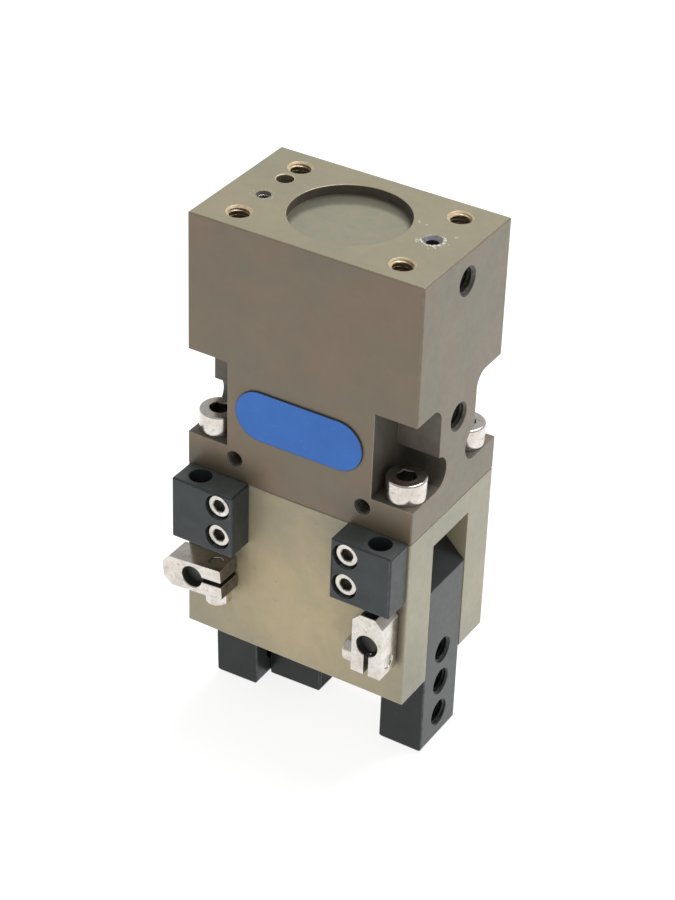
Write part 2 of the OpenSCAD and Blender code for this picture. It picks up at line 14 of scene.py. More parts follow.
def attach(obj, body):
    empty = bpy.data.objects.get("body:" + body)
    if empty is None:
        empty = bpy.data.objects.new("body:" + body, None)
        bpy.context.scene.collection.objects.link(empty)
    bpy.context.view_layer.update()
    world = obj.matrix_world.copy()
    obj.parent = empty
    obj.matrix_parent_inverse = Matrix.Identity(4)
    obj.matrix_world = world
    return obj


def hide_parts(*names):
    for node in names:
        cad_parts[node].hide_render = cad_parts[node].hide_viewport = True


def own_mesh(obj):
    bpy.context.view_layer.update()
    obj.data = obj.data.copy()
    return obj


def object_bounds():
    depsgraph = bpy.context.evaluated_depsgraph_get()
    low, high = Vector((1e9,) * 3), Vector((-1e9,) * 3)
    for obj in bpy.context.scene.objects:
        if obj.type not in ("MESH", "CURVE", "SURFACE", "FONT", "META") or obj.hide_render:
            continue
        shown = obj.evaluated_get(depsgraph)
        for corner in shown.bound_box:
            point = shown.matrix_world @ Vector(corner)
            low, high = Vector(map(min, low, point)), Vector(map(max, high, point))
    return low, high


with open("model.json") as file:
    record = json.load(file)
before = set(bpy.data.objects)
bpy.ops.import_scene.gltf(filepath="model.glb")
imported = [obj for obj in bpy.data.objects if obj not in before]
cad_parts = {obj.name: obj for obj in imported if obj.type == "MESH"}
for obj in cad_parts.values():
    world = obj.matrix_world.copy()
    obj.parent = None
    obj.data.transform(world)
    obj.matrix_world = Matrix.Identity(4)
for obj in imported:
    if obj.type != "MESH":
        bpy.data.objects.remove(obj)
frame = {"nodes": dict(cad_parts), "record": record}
cad_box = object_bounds()
random.seed(7)

MM = 0.001
scene = bpy.context.scene
coll = scene.collection
NODES = frame["nodes"]


# ------------------------------------------------------------------ camera
# The view is az 30.35 deg round from the front, 33.6 deg above the horizon, rolled 2.07 deg.
AZ, EL, ROLL = math.radians(30.354), math.radians(33.582), math.radians(2.072)
FOCAL_PX = 2557.64
CAM_AT = Vector((182.92, -313.62, 195.57)) * MM


def make_camera():
    back = Vector((math.sin(AZ) * math.cos(EL), -math.cos(AZ) * math.cos(EL), math.sin(EL)))
    right = Vector((math.cos(AZ), math.sin(AZ), 0))
    up = back.cross(right)
    c, s = math.cos(ROLL), math.sin(ROLL)
    x_axis = c * right + s * up
    y_axis = -s * right + c * up
    m = Matrix((
        (x_axis.x, y_axis.x, back.x, CAM_AT.x),
        (x_axis.y, y_axis.y, back.y, CAM_AT.y),
        (x_axis.z, y_axis.z, back.z, CAM_AT.z),
        (0, 0, 0, 1)))
    data = bpy.data.cameras.new("camera")
    data.sensor_width = 36.0
    data.lens = FOCAL_PX * 36.0 / 900.0
    data.clip_start = 0.01
    data.clip_end = 20.0
    cam = bpy.data.objects.new("camera", data)
    cam.matrix_world = m
    coll.objects.link(cam)
    scene.camera = cam
    return cam


make_camera()


# ------------------------------------------------------------------ node helpers
class Nodes:
    """Small writer of shader node trees. Coordinates are the piece's own, in millimetres."""

    def __init__(self, name):
        self.mat = bpy.data.materials.new(name)
        self.mat.use_nodes = True
        self.t = self.mat.node_tree
        self.t.nodes.clear()
        self.out = self.t.nodes.new("ShaderNodeOutputMaterial")
        self.bsdf = self.t.nodes.new("ShaderNodeBsdfPrincipled")
        self.t.links.new(self.bsdf.outputs[0], self.out.inputs[0])
        tc = self.t.nodes.new("ShaderNodeTexCoord")
        self.mm = self.vmath("SCALE", tc.outputs["Object"], scale=1000.0)

    def link(self, a, b):
        self.t.links.new(a, b)

    def put(self, sock, v):
        if isinstance(v, bpy.types.NodeSocket):
            self.link(v, sock)
        else:
            sock.default_value = v

    def vmath(self, op, a, b=None, scale=None):
        n = self.t.nodes.new("ShaderNodeVectorMath")
        n.operation = op
        self.put(n.inputs[0], a)
        if b is not None:
            self.put(n.inputs[1], b)
        if scale is not None:
            self.put(n.inputs["Scale"], scale)
        return n.outputs["Value"] if op in ("LENGTH", "DISTANCE", "DOT_PRODUCT") else n.outputs[0]

    def math(self, op, a, b=None, c=None, clamp=False):
        n = self.t.nodes.new("ShaderNodeMath")
        n.operation = op
        n.use_clamp = clamp
        self.put(n.inputs[0], a)
        if b is not None:
            self.put(n.inputs[1], b)
        if c is not None:
            self.put(n.inputs[2], c)
        return n.outputs[0]

    def sep(self, v):
        n = self.t.nodes.new("ShaderNodeSeparateXYZ")
        self.put(n.inputs[0], v)
        return n.outputs

    def noise(self, scale, detail=2.0, rough=0.5, distortion=0.0, vec=None, stretch=None, seed=0.0):
        v = vec if vec is not None else self.mm
        if stretch is not None:
            v = self.vmath("MULTIPLY", v, stretch)
        if seed:
            v = self.vmath("ADD", v, (seed * 13.7, seed * 7.3, seed * 29.1))
        n = self.t.nodes.new("ShaderNodeTexNoise")
        self.put(n.inputs["Vector"], v)
        n.inputs["Scale"].default_value = scale
        n.inputs["Detail"].default_value = detail
        n.inputs["Roughness"].default_value = rough
        n.inputs["Distortion"].default_value = distortion
        return n.outputs["Fac"] if "Fac" in n.outputs else n.outputs[0]

    def voronoi(self, scale, vec=None, feature="F1", out="Distance", rand=1.0):
        n = self.t.nodes.new("ShaderNodeTexVoronoi")
        n.feature = feature
        self.put(n.inputs["Vector"], vec if vec is not None else self.mm)
        n.inputs["Scale"].default_value = scale
        n.inputs["Randomness"].default_value = rand
        return n.outputs[out]

    def wave(self, scale, vec, distortion=0.0, detail=2.0, direction="X", kind="BANDS"):
        n = self.t.nodes.new("ShaderNodeTexWave")
        n.wave_type = kind
        if kind == "BANDS":
            n.bands_direction = direction
        else:
            n.rings_direction = direction
        self.put(n.inputs["Vector"], vec)
        n.inputs["Scale"].default_value = scale
        n.inputs["Distortion"].default_value = distortion
        n.inputs["Detail"].default_value = detail
        return n.outputs["Fac"]

    def ramp(self, fac, stops, interp="LINEAR"):
        n = self.t.nodes.new("ShaderNodeValToRGB")
        n.color_ramp.interpolation = interp
        e = n.color_ramp.elements
        while len(e) > 1:
            e.remove(e[-1])
        for i, (p, c) in enumerate(stops):
            el = e[0] if i == 0 else e.new(p)
            el.position = p
            el.color = c if len(c) == 4 else (*c, 1.0)
        self.put(n.inputs[0], fac)
        return n.outputs[0]

    def remap(self, v, a, b, lo=0.0, hi=1.0):
        n = self.t.nodes.new("ShaderNodeMapRange")
        n.clamp = True
        self.put(n.inputs[0], v)
        for i, x in zip((1, 2, 3, 4), (a, b, lo, hi)):
            n.inputs[i].default_value = x
        return n.outputs[0]

    def mix(self, fac, a, b, blend="MIX"):
        n = self.t.nodes.new("ShaderNodeMix")
        n.data_type = "RGBA"
        n.blend_type = blend
        n.clamp_result = blend != "MIX"
        self.put(n.inputs["Factor"], fac)
        for s, v in ((n.inputs[6], a), (n.inputs[7], b)):
            if isinstance(v, tuple) and len(v) == 3:
                v = (*v, 1.0)
            self.put(s, v)
        return n.outputs[2]

    def tint(self, col, noise_v, amount):
        """Lightens and darkens col by a share, along a 0 to 1 pattern."""
        k = self.remap(noise_v, 0.0, 1.0, 1.0 - amount, 1.0 + amount)
        return self.vmath("SCALE", col, scale=k)

    def bump(self, height, strength, distance_mm, normal=None):
        n = self.t.nodes.new("ShaderNodeBump")
        n.inputs["Strength"].default_value = strength
        n.inputs["Distance"].default_value = distance_mm * MM
        self.put(n.inputs["Height"], height)
        if normal is not None:
            self.put(n.inputs["Normal"], normal)
        return n.outputs[0]

    def ring_dist(self, cx, cy, cz, axis):
        """Distance in mm from a line along an axis through a point."""
        v = self.vmath("SUBTRACT", self.mm, (cx, cy, cz))
        keep = {"X": (0, 1, 1), "Y": (1, 0, 1), "Z": (1, 1, 0)}[axis]
        return self.vmath("LENGTH", self.vmath("MULTIPLY", v, keep))

    def facing(self, axis):
        """1 on faces that look along the axis either way, 0 on the others."""
        g = self.t.nodes.new("ShaderNodeNewGeometry")
        return self.remap(self.math("ABSOLUTE", self.sep(g.outputs["Normal"])[axis]), 0.60, 0.95)

    def finish(self, color, roughness, metallic=0.0, normal=None, spec=None, coat=None, coat_rough=None, ior=None, aniso=None):
        b = self.bsdf.inputs
        if isinstance(color, tuple) and len(color) == 3:
            color = (*color, 1.0)
        self.put(b["Base Color"], color)
        self.put(b["Roughness"], roughness)
        self.put(b["Metallic"], metallic)
        if normal is not None:
            self.link(normal, b["Normal"])
        if spec is not None:
            b["Specular IOR Level"].default_value = spec
        if coat is not None:
            b["Coat Weight"].default_value = coat
        if coat_rough is not None:
            b["Coat Roughness"].default_value = coat_rough
        if ior is not None:
            b["IOR"].default_value = ior
        if aniso is not None:
            b["Anisotropic"].default_value = aniso
        return self.mat


def srgb(r, g, b):
    """8 bit display colour to linear."""
    def f(c):
        c /= 255.0
        return c / 12.92 if c <= 0.04045 else ((c + 0.055) / 1.055) ** 2.4
    return (f(r), f(g), f(b))


# ------------------------------------------------------------------ materials
def mat_brown_anodised():
    """Hard anodised aluminium, brown, fine satin grain with slow clouds of tone."""
    n = Nodes("brown_anodised")
    clouds = n.noise(0.055, 3, 0.55, 0.6)
    blotch = n.noise(0.35, 4, 0.6, 0.3, seed=1)
    fine = n.noise(5.5, 3, 0.6, seed=2)
    c = n.mix(n.remap(clouds, 0.38, 0.62), (0.194, 0.137, 0.083), (0.162, 0.137, 0.089))
    c = n.tint(c, blotch, 0.09)
    c = n.tint(c, n.noise(0.11, 2, 0.5, 0.4, seed=5), 0.08)
    c = n.tint(c, fine, 0.06)
    # milling streaks, only just there
    streak = n.noise(1.0, 2, 0.5, stretch=(0.25, 0.25, 3.2), seed=3)
    c = n.tint(c, streak, 0.03)
    # painted light: faces that look along X are cooler and bluer, as if lit from the right
    c = n.mix(n.facing(0), c, n.vmath("MULTIPLY", c, (0.93, 1.01, 1.04)))
    # painted shade and dark reflection of the sensor brackets on the flange, strong above the left bracket, a trace
    # above the right one
    x, y, z = n.sep(n.mm)
    low = n.math("MULTIPLY", n.remap(z, -47.6, -42.4, 1.0, 0.0), n.remap(y, -13.9, -13.2, 1.0, 0.0))
    where = n.math("ADD", n.remap(x, -11.0, -6.5, 1.0, 0.0), n.remap(x, 8.0, 11.0, 0.0, 0.35))
    c = n.mix(n.math("MULTIPLY", n.math("MULTIPLY", low, where), 0.60), c, (0.050, 0.048, 0.036))
    rough = n.remap(n.noise(0.8, 3, 0.6, seed=4), 0.3, 0.7, 0.34, 0.44)
    h = n.math("ADD", n.math("MULTIPLY", fine, 0.7), n.math("MULTIPLY", streak, 0.3))
    return n.finish(c, rough, 0.06, n.bump(h, 0.18, 0.02), spec=0.62)


def mat_top_face():
    """The top of the cylinder housing: the same anodising with scratches from mounting; the sealing compound round the
    small air hole is a piece of its own.
    """
    n = Nodes("brown_anodised_top")
    clouds = n.noise(0.07, 3, 0.55, 0.6)
    blotch = n.noise(0.4, 4, 0.6, 0.3, seed=1)
    fine = n.noise(5.5, 3, 0.6, seed=2)
    c = n.mix(n.remap(clouds, 0.35, 0.65), (0.236, 0.207, 0.137), (0.216, 0.200, 0.137))
    c = n.tint(c, blotch, 0.06)
    c = n.tint(c, fine, 0.06)
    c = n.tint(c, n.noise(0.16, 3, 0.6, 0.5, seed=10), 0.08)
    scratch = n.remap(n.noise(1.0, 2, 0.5, 0.4, stretch=(0.12, 2.4, 1.0), seed=6), 0.62, 0.70)
    c = n.mix(n.math("MULTIPLY", scratch, 0.12), c, (0.30, 0.28, 0.22))
    rough = n.remap(n.noise(0.8, 3, 0.6, seed=4), 0.3, 0.7, 0.34, 0.44)
    return n.finish(c, rough, 0.12, n.bump(fine, 0.18, 0.02), spec=0.5)


def mat_recess_floor():
    """Floor of the centring recess: greener, with a painted shadow of the rim along the back of the wall."""
    n = Nodes("brown_anodised_recess_floor")
    blotch = n.noise(0.35, 4, 0.6, 0.4, seed=16)
    fine = n.noise(5.5, 3, 0.6, seed=2)
    c = n.mix(n.remap(blotch, 0.35, 0.65), (0.215, 0.198, 0.138), (0.190, 0.188, 0.138))
    c = n.tint(c, fine, 0.06)
    # painted shadow of the rim along the back of the wall, darker towards the wall
    crescent = n.remap(n.math("ADD", n.ring_dist(1.75, -3.1, 0.0, "Z"), n.math("MULTIPLY", blotch, 0.5)), 9.95, 10.95, 0.0, 1.0)
    deep = n.remap(n.ring_dist(0.0, 0.0, 0.0, "Z"), 7.0, 10.2, 0.56, 0.38)
    c = n.mix(crescent, c, n.vmath("SCALE", c, scale=deep))
    rough = n.remap(n.noise(0.8, 3, 0.6, seed=4), 0.3, 0.7, 0.34, 0.46)
    return n.finish(c, rough, 0.10, n.bump(fine, 0.18, 0.02), spec=0.5)


def mat_pocket(name, k):
    """Milled pockets and the wall of the recess: the same brown with cutter marks, darker as painted shade."""
    n = Nodes(name)
    blotch = n.noise(0.5, 4, 0.6, 0.4, seed=7)
    fine = n.noise(5.0, 3, 0.6, seed=8)
    marks = n.noise(1.0, 2, 0.5, stretch=(0.4, 0.4, 4.0), seed=9)
    c = n.mix(n.remap(blotch, 0.35, 0.65), (0.094 * k, 0.084 * k, 0.066 * k), (0.128 * k, 0.110 * k, 0.086 * k))
    c = n.tint(c, fine, 0.08)
    h = n.math("ADD", n.math("MULTIPLY", fine, 0.5), n.math("MULTIPLY", marks, 0.5))
    return n.finish(c, n.remap(blotch, 0.3, 0.7, 0.40, 0.52), 0.10, n.bump(h, 0.2, 0.02), spec=0.4)


def mat_olive_anodised():
    """Hard anodised aluminium, lighter and olive, mottled, with small dark specks."""
    n = Nodes("olive_anodised")
    clouds = n.noise(0.09, 4, 0.6, 0.8, seed=11)
    blotch = n.noise(0.55, 5, 0.65, 0.4, seed=12)
    fine = n.noise(4.0, 4, 0.65, seed=13)
    c = n.mix(n.remap(clouds, 0.33, 0.67), (0.47, 0.405, 0.270), (0.395, 0.365, 0.252))
    c = n.tint(c, blotch, 0.10)
    c = n.tint(c, fine, 0.08)
    middle = n.remap(n.ring_dist(1.0, 0.0, -69.0, "Y"), 6.0, 23.0, 1.0, 0.0)
    c = n.mix(middle, n.vmath("SCALE", c, scale=0.80), n.vmath("MULTIPLY", c, (1.12, 1.03, 0.92)))
    # painted light: faces that look along X are cooler and bluer, as if lit from the right
    c = n.mix(n.facing(0), c, n.vmath("MULTIPLY", c, (0.97, 1.03, 1.13)))
    x, y, z = n.sep(n.mm)
    # painted shade on the housing front between the left sensor bracket and the left cam
    shade_below_bracket = n.math("MULTIPLY", n.remap(z, -65.6, -63.8, 0.0, 1.0), n.remap(x, -11.2, -9.2, 1.0, 0.0))
    shade_below_bracket = n.math("MULTIPLY", shade_below_bracket, n.remap(y, -13.9, -13.2, 1.0, 0.0))
    c = n.mix(n.math("MULTIPLY", shade_below_bracket, 0.55), c, (0.075, 0.075, 0.055))
    # painted shadow of the right cam on the housing front, in the gap behind it
    right_cam_shadow = n.math("MULTIPLY", n.remap(x, 19.4, 20.3, 0.0, 1.0), n.remap(x, 21.0, 21.75, 1.0, 0.0))
    right_cam_shadow = n.math("MULTIPLY", right_cam_shadow, n.remap(n.math("ABSOLUTE", n.math("ADD", z, 67.0)), 5.0, 7.5, 1.0, 0.0))
    right_cam_shadow = n.math("MULTIPLY", right_cam_shadow, n.remap(y, -13.99, -13.9, 1.0, 0.0))
    c = n.mix(n.math("MULTIPLY", right_cam_shadow, 0.72), c, (0.075, 0.062, 0.058))
    low_side = n.math("MULTIPLY", n.math("MULTIPLY", n.facing(0), n.remap(z, -74.0, -64.0, 1.0, 0.0)), n.remap(y, -9.0, -5.0, 1.0, 0.0))
    c = n.mix(n.math("MULTIPLY", low_side, 0.20), c, (0.10, 0.09, 0.065))
    spots = n.remap(n.voronoi(0.42), 0.03, 0.12, 1.0, 0.0)
    gate = n.remap(n.noise(0.9, 2, 0.5, seed=14), 0.55, 0.62)
    c = n.mix(n.math("MULTIPLY", n.math("MULTIPLY", spots, gate), 0.45), c, (0.12, 0.10, 0.07))
    rough = n.remap(n.noise(0.7, 3, 0.6, seed=15), 0.3, 0.7, 0.38, 0.50)
    h = n.math("ADD", n.math("MULTIPLY", fine, 0.7), n.math("MULTIPLY", blotch, 0.3))
    return n.finish(c, rough, 0.12, n.bump(h, 0.22, 0.02), spec=0.5)


def mat_edge(name, base, worn, wear=0.5):
    """A rounded or chamfered edge: anodising thinned by handling, brighter in places; on the rubbed flange and neck
    edges and on the recess rim the lighter colour is also a painted highlight.
    """
    n = Nodes(name)
    w = n.remap(n.noise(0.9, 4, 0.65, seed=21), 0.42, 0.60)
    fine = n.noise(6.0, 3, 0.6, seed=22)
    c = n.mix(n.math("MULTIPLY", w, wear), base, worn)
    c = n.tint(c, fine, 0.08)
    rough = n.remap(w, 0.0, 1.0, 0.42, 0.34)
    return n.finish(c, rough, 0.25, n.bump(fine, 0.15, 0.02))


def mat_bare_thread(name, base, dark, metallic=0.75, rough=(0.26, 0.40)):
    """Cut thread and its chamfer: thinner, warmer coat with oil in the grooves."""
    n = Nodes(name)
    v = n.noise(1.4, 4, 0.65, seed=31)
    fine = n.noise(7.0, 3, 0.6, seed=32)
    c = n.mix(n.remap(v, 0.35, 0.68), base, dark)
    c = n.tint(c, fine, 0.08)
    return n.finish(c, n.remap(v, 0.3, 0.7, *rough), metallic, n.bump(fine, 0.12, 0.02))


def mat_black(name, base, seed, metallic=0.3, rough=(0.34, 0.46), blue=(1.0, 1.04, 1.07), dust=0.25, spec=0.5, side=0.0):
    """Black coated metal: slightly blue, satin, with rub marks and dust in the grain."""
    n = Nodes(name)
    clouds = n.noise(0.18, 4, 0.6, 0.5, seed=seed)
    fine = n.noise(6.5, 3, 0.6, seed=seed + 1)
    rub = n.remap(n.noise(0.8, 5, 0.7, 0.6, seed=seed + 2), 0.56, 0.72)
    light = tuple(min(1.0, b * k * 1.35 + 0.004) for b, k in zip(base, blue))
    c = n.mix(n.remap(clouds, 0.35, 0.65), tuple(base), light)
    c = n.mix(n.math("MULTIPLY", rub, dust), c, tuple(min(1.0, b * 2.2 + 0.02) for b in base))
    if side:
        # painted light: the flanks, the faces that look along X, are a little lighter than the front and back
        c = n.mix(n.facing(0), c, n.vmath("ADD", c, (side, side * 1.05, side * 1.05)))
    c = n.tint(c, fine, 0.10)
    r = n.remap(n.noise(0.9, 4, 0.65, seed=seed + 3), 0.3, 0.7, *rough)
    return n.finish(c, r, metallic, n.bump(fine, 0.20, 0.02), spec=spec)


def mat_nickel(name="nickel_plated", seed=41, rough=(0.16, 0.27), worn=0.5):
    """Nickel plating with hairline scratches, faint yellowing and a few rubbed spots."""
    n = Nodes(name)
    warm = n.noise(0.35, 4, 0.6, 0.4, seed=seed)
    hair = n.noise(1.0, 2, 0.5, 0.2, stretch=(0.6, 7.0, 7.0), seed=seed + 1)
    hair2 = n.noise(1.0, 2, 0.5, 0.2, stretch=(7.0, 7.0, 0.6), seed=seed + 2)
    fine = n.noise(9.0, 2, 0.5, seed=seed + 3)
    c = n.mix(n.remap(warm, 0.35, 0.65), (0.58, 0.535, 0.475), (0.72, 0.69, 0.65))
    pits = n.remap(n.noise(1.3, 4, 0.65, seed=seed + 4), 0.54, 0.70)
    c = n.mix(n.math("MULTIPLY", pits, worn), c, (0.26, 0.23, 0.19))
    r = n.remap(n.noise(0.9, 4, 0.6, seed=seed + 5), 0.3, 0.7, *rough)
    h = n.math("ADD", n.math("MULTIPLY", hair, 0.5), n.math("MULTIPLY", hair2, 0.5))
    h = n.math("ADD", h, n.math("MULTIPLY", fine, 0.3))
    return n.finish(c, r, 1.0, n.bump(h, 0.10, 0.02))


def mat_nickel_matt(name, light, dark, metallic, rough):
    """Nickel plating in a plain tone: painted darker for shade and dark reflection on the left cam, painted lighter and
    duller as a highlight on a chamfer of the right cam.
    """
    n = Nodes(name)
    tone = n.noise(0.6, 4, 0.6, 0.4, seed=46)
    fine = n.noise(9.0, 2, 0.5, seed=47)
    c = n.tint(n.mix(n.remap(tone, 0.35, 0.65), dark, light), fine, 0.06)
    return n.finish(c, n.remap(tone, 0.3, 0.7, *rough), metallic, n.bump(fine, 0.10, 0.02))


def mat_steel(name, base, seed, rough=(0.22, 0.34), stretch=(0.5, 6.0, 0.5), stain=0.25, metallic=1.0):
    """Ground or turned steel: fine parallel marks, light oil staining."""
    n = Nodes(name)
    lines = n.noise(1.6, 3, 0.6, 0.0, stretch=stretch, seed=seed)
    fine = n.noise(8.0, 2, 0.5, seed=seed + 1)
    oil = n.remap(n.noise(0.5, 4, 0.6, 0.5, seed=seed + 2), 0.48, 0.72)
    c = n.tint(tuple(base), lines, 0.10)
    c = n.mix(n.math("MULTIPLY", oil, stain), c, tuple(b * 0.45 for b in base))
    r = n.remap(lines, 0.3, 0.7, *rough)
    h = n.math("ADD", n.math("MULTIPLY", lines, 0.8), n.math("MULTIPLY", fine, 0.2))
    return n.finish(c, r, metallic, n.bump(h, 0.20, 0.01))


def mat_bronze():
    """Sintered bronze with pores."""
    n = Nodes("bronze")
    pore = n.remap(n.voronoi(3.2), 0.05, 0.22, 1.0, 0.0)
    tone = n.noise(0.9, 4, 0.6, seed=61)
    c = n.mix(n.remap(tone, 0.35, 0.65), (0.50, 0.33, 0.15), (0.60, 0.42, 0.21))
    c = n.mix(n.math("MULTIPLY", pore, 0.6), c, (0.16, 0.10, 0.05))
    h = n.math("SUBTRACT", n.math("MULTIPLY", tone, 0.4), pore)
    return n.finish(c, n.remap(tone, 0.3, 0.7, 0.34, 0.46), 0.9, n.bump(h, 0.3, 0.02))


def mat_rubber():
    """Matte black seal rubber with a trace of grease."""
    n = Nodes("seal_rubber")
    tone = n.noise(1.2, 4, 0.6, seed=71)
    fine = n.noise(9.0, 3, 0.6, seed=72)
    c = n.mix(n.remap(tone, 0.35, 0.7), (0.022, 0.022, 0.024), (0.045, 0.045, 0.048))
    return n.finish(c, n.remap(tone, 0.3, 0.7, 0.45, 0.7), 0.0, n.bump(fine, 0.3, 0.03))


def mat_blue_plate():
    """Blank glossy blue label plate: even colour, a trace of orange peel and fine scuffs."""
    n = Nodes("blue_plate")
    tone = n.noise(0.16, 2, 0.5, seed=81)
    peel = n.noise(1.6, 2, 0.5, seed=82)
    scuff = n.remap(n.noise(1.0, 3, 0.6, 0.3, stretch=(0.4, 3.0, 3.0), seed=83), 0.60, 0.72)
    c = n.mix(n.remap(tone, 0.35, 0.65), (0.006, 0.130, 0.505), (0.009, 0.148, 0.555))
    c = n.mix(n.math("MULTIPLY", scuff, 0.10), c, (0.20, 0.32, 0.62))
    r = n.remap(scuff, 0.0, 1.0, 0.16, 0.30)
    return n.finish(c, r, 0.0, n.bump(peel, 0.06, 0.02), spec=0.45)


def mat_label_edge():
    """The cut edge of the label plate and the dark line of adhesive round it."""
    n = Nodes("blue_plate_edge")
    tone = n.noise(1.1, 4, 0.6, seed=85)
    c = n.mix(n.remap(tone, 0.35, 0.65), (0.010, 0.022, 0.060), (0.022, 0.050, 0.130))
    return n.finish(c, 0.45, 0.0, n.bump(tone, 0.2, 0.02))


def mat_residue():
    """Dried white sealing compound."""
    n = Nodes("sealing_residue")
    tone = n.noise(2.2, 4, 0.7, seed=91)
    c = n.mix(n.remap(tone, 0.3, 0.7), (0.34, 0.33, 0.27), (0.60, 0.59, 0.53))
    return n.finish(c, n.remap(tone, 0.3, 0.7, 0.45, 0.75), 0.0, n.bump(tone, 0.5, 0.05))


MAT = {
    "brown": mat_brown_anodised(),
    "top": mat_top_face(),
    "olive": mat_olive_anodised(),
    "brown_edge": mat_edge("brown_anodised_edge", (0.185, 0.145, 0.100), (0.29, 0.25, 0.185), 0.35),
    "olive_edge": mat_edge("olive_anodised_edge", (0.36, 0.33, 0.24), (0.52, 0.48, 0.38), 0.4),
    "brown_thread": mat_bare_thread("brown_anodised_thread", (0.30, 0.235, 0.150), (0.13, 0.095, 0.060), 0.45),
    "black_anodised": mat_black("black_anodised", (0.0225, 0.0275, 0.0285), 101, 0.0, (0.36, 0.48), blue=(1.0, 1.03, 1.04), spec=0.41),
    "black_lit_top": mat_black("black_anodised_painted_lit_top", (0.070, 0.078, 0.074), 106, 0.0, (0.36, 0.48), spec=0.5),
    "worn_highlit_edge": mat_edge("brown_anodised_rubbed_highlit_edge", (0.27, 0.24, 0.185), (0.36, 0.33, 0.27), 0.6),
    "rim_edge": mat_edge("brown_anodised_recess_rim", (0.30, 0.26, 0.17), (0.38, 0.33, 0.22), 0.5),
    "recess_wall": mat_pocket("brown_anodised_recess_wall", 0.86),
    "bore_wall": mat_black("nickel_bore_painted_shade", (0.045, 0.047, 0.042), 57, 0.25, (0.38, 0.5)),
    "black_edge": mat_edge("black_anodised_edge", (0.050, 0.056, 0.060), (0.13, 0.14, 0.145), 0.35),
    "blackened_steel": mat_black("blackened_steel", (0.0050, 0.0072, 0.0074), 111, 0.0, (0.28, 0.38), spec=0.37, side=0.022),
    "blackened_oily": mat_black("blackened_steel_oily", (0.0040, 0.0050, 0.0050), 116, 0.0, (0.40, 0.52), dust=0.1, spec=0.12),
    "blackened_edge": mat_edge("blackened_steel_edge", (0.040, 0.045, 0.050), (0.15, 0.16, 0.17), 0.35),
    "black_thread": mat_bare_thread("blackened_steel_thread", (0.050, 0.052, 0.056), (0.020, 0.021, 0.023), 0.5, (0.30, 0.42)),
    "black_steel": mat_black("black_steel", (0.050, 0.050, 0.055), 121, 0.6, (0.28, 0.42)),
    "nickel": mat_nickel(),
    "nickel_painted_dark_reflection": mat_nickel_matt("nickel_painted_dark_reflection", (0.20, 0.185, 0.160), (0.11, 0.10, 0.085), 0.8, (0.26, 0.38)),
    "nickel_matt_painted_highlight": mat_nickel_matt("nickel_matt_painted_highlight", (0.66, 0.61, 0.55), (0.52, 0.48, 0.43), 0.25, (0.36, 0.48)),
    "nickel_socket_shade": mat_steel("nickel_socket", (0.20, 0.185, 0.165), 51, (0.30, 0.45), (0.5, 6.0, 0.5), 0.5),
    "shaft_end": mat_black("dark_shaft_end", (0.030, 0.031, 0.028), 55, 0.2, (0.38, 0.5)),
    "pocket": mat_pocket("brown_anodised_pocket", 1.16),
    "pocket_dark": mat_pocket("brown_anodised_pocket_low", 0.80),
    "recess_floor": mat_recess_floor(),
    "gold_chamfer": mat_bare_thread("brown_anodised_chamfer", (0.60, 0.475, 0.290), (0.40, 0.32, 0.20), 0.15, (0.30, 0.42)),
    "grey_chamfer": mat_bare_thread("grey_chamfer", (0.24, 0.245, 0.26), (0.13, 0.13, 0.14), 0.3, (0.30, 0.42)),
    "port_thread": mat_bare_thread("brown_anodised_port_thread", (0.098, 0.092, 0.074), (0.034, 0.031, 0.024), 0.2, (0.34, 0.48)),
    "jaw_thread": mat_bare_thread("blackened_jaw_thread", (0.022, 0.023, 0.025), (0.008, 0.009, 0.010), 0.3, (0.34, 0.46)),
    "hardened_steel": mat_steel("hardened_steel", (0.42, 0.42, 0.43), 131, (0.26, 0.38), (0.5, 6.0, 0.5), 0.4),
    "ground_steel": mat_steel("ground_steel", (0.58, 0.58, 0.59), 141, (0.20, 0.32), (0.5, 0.5, 5.0), 0.25),
    "spring_steel": mat_steel("spring_steel", (0.34, 0.34, 0.36), 151, (0.26, 0.40), (2.0, 2.0, 2.0), 0.4),
    "machined_aluminium": mat_steel("machined_aluminium", (0.72, 0.72, 0.73), 161, (0.24, 0.36), (0.4, 0.4, 7.0), 0.15),
    "bronze": mat_bronze(),
    "rubber": mat_rubber(),
    "blue": mat_blue_plate(),
    "blue_edge": mat_label_edge(),
    "residue": mat_residue(),
}

SLOT_MAT = {
    "brown_anodised": "brown", "olive_anodised": "olive", "machined_aluminium": "machined_aluminium",
    "black_anodised": "black_anodised", "blackened_steel": "blackened_steel", "black_steel": "black_steel",
    "hardened_steel": "hardened_steel", "ground_steel": "ground_steel", "spring_steel": "spring_steel",
    "nickel_plated": "nickel", "bronze": "bronze", "seal_rubber": "rubber", "blue_plate": "blue"}
NODE_SLOT = {s["node"]: s["material_slot"] for s in frame["record"]["subparts"]}
NODE_BODY = {n: b for b, ns in frame["record"]["behaviour"]["bodies"].items() for n in ns}

# every CAD node gets its finish, also those that a detailed piece stands for below
for name, ob in NODES.items():
    ob.data.materials.clear()
    ob.data.materials.append(MAT[SLOT_MAT[NODE_SLOT[name]]])


# ------------------------------------------------------------------ mesh helpers
def new_object(name, bm, mats, smooth=True):
    me = bpy.data.meshes.new(name)
    bm.to_mesh(me)
    bm.free()
    ob = bpy.data.objects.new(name, me)
    coll.objects.link(ob)
    for m in mats:
        me.materials.append(MAT[m])
    if smooth:
        me.shade_smooth()
    return ob


def apply_modifiers(ob):
    dg = bpy.context.evaluated_depsgraph_get()
    dg.update()
    me = bpy.data.meshes.new_from_object(ob.evaluated_get(dg))
    ob.modifiers.clear()
    old = ob.data
    ob.data = me
    me.name = ob.name
    bpy.data.meshes.remove(old)


